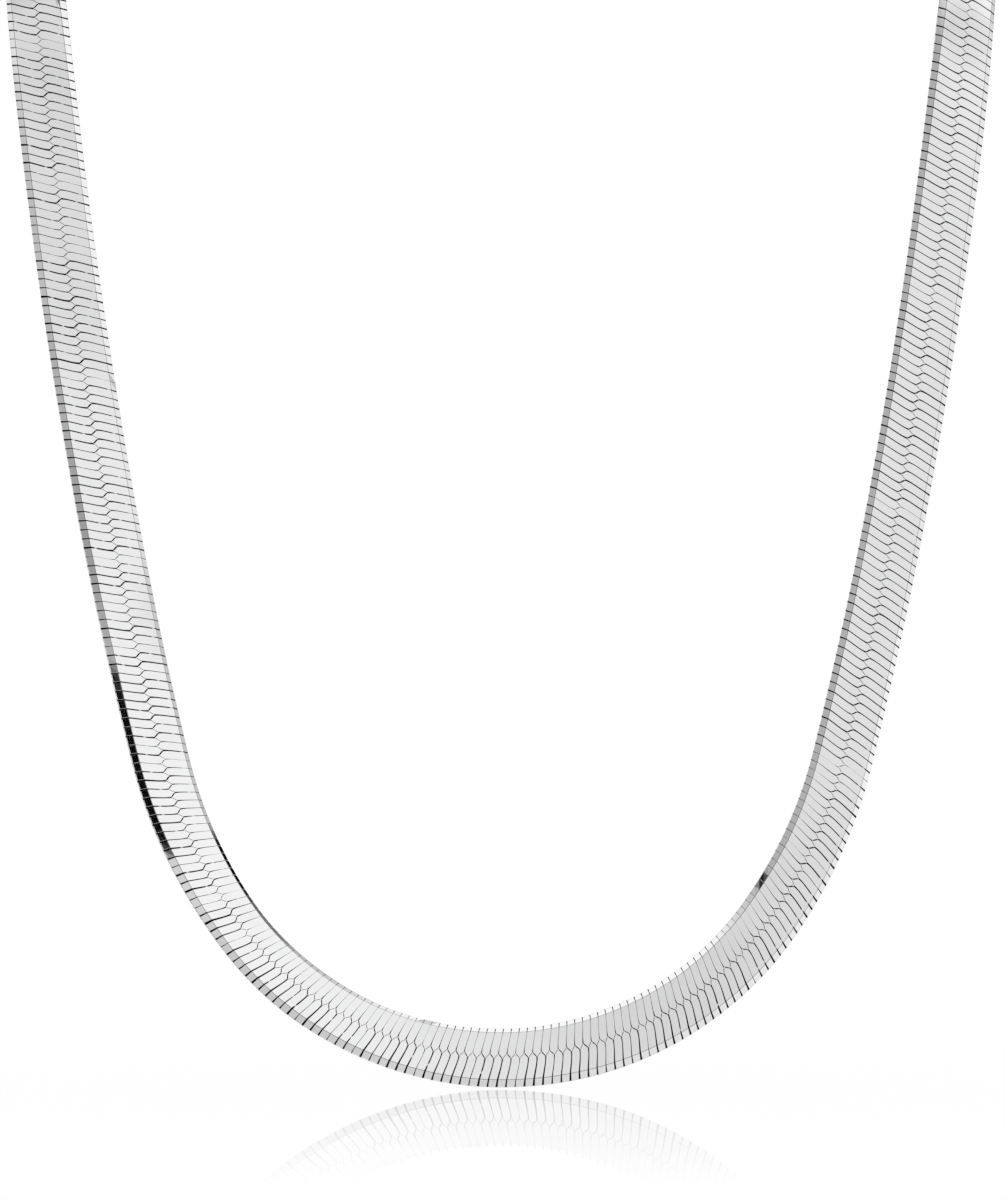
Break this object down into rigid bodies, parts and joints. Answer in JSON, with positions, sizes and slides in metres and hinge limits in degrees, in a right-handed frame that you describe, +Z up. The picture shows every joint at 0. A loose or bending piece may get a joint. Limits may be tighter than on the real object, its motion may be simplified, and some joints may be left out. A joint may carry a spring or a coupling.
{
  "type": "herringbone chain necklace",
  "caption": "Flat woven herringbone chain necklace with bevelled edges, closed behind the neck by end caps, jump rings and a lobster clasp.",
  "frame": {"origin": "middle of the clasp, where the loop lies on the back of the neck", "axes": "+X across the neck to the right in the picture, -Y towards the front, +Z up"},
  "size_m": [0.1119, 0.0902, 0.1561],
  "materials": {
    "chain_silver": "polished silver, flat faces with fine polishing lines",
    "fitting_silver": "polished silver"
  },
  "bodies": {
    "root": {"chain": "chain_silver", "end_cap_left": "fitting_silver", "end_cap_right": "fitting_silver", "jump_ring_left": "fitting_silver", "jump_ring_right": "fitting_silver", "lobster_clasp": "fitting_silver"}
  },
  "joints": []
}
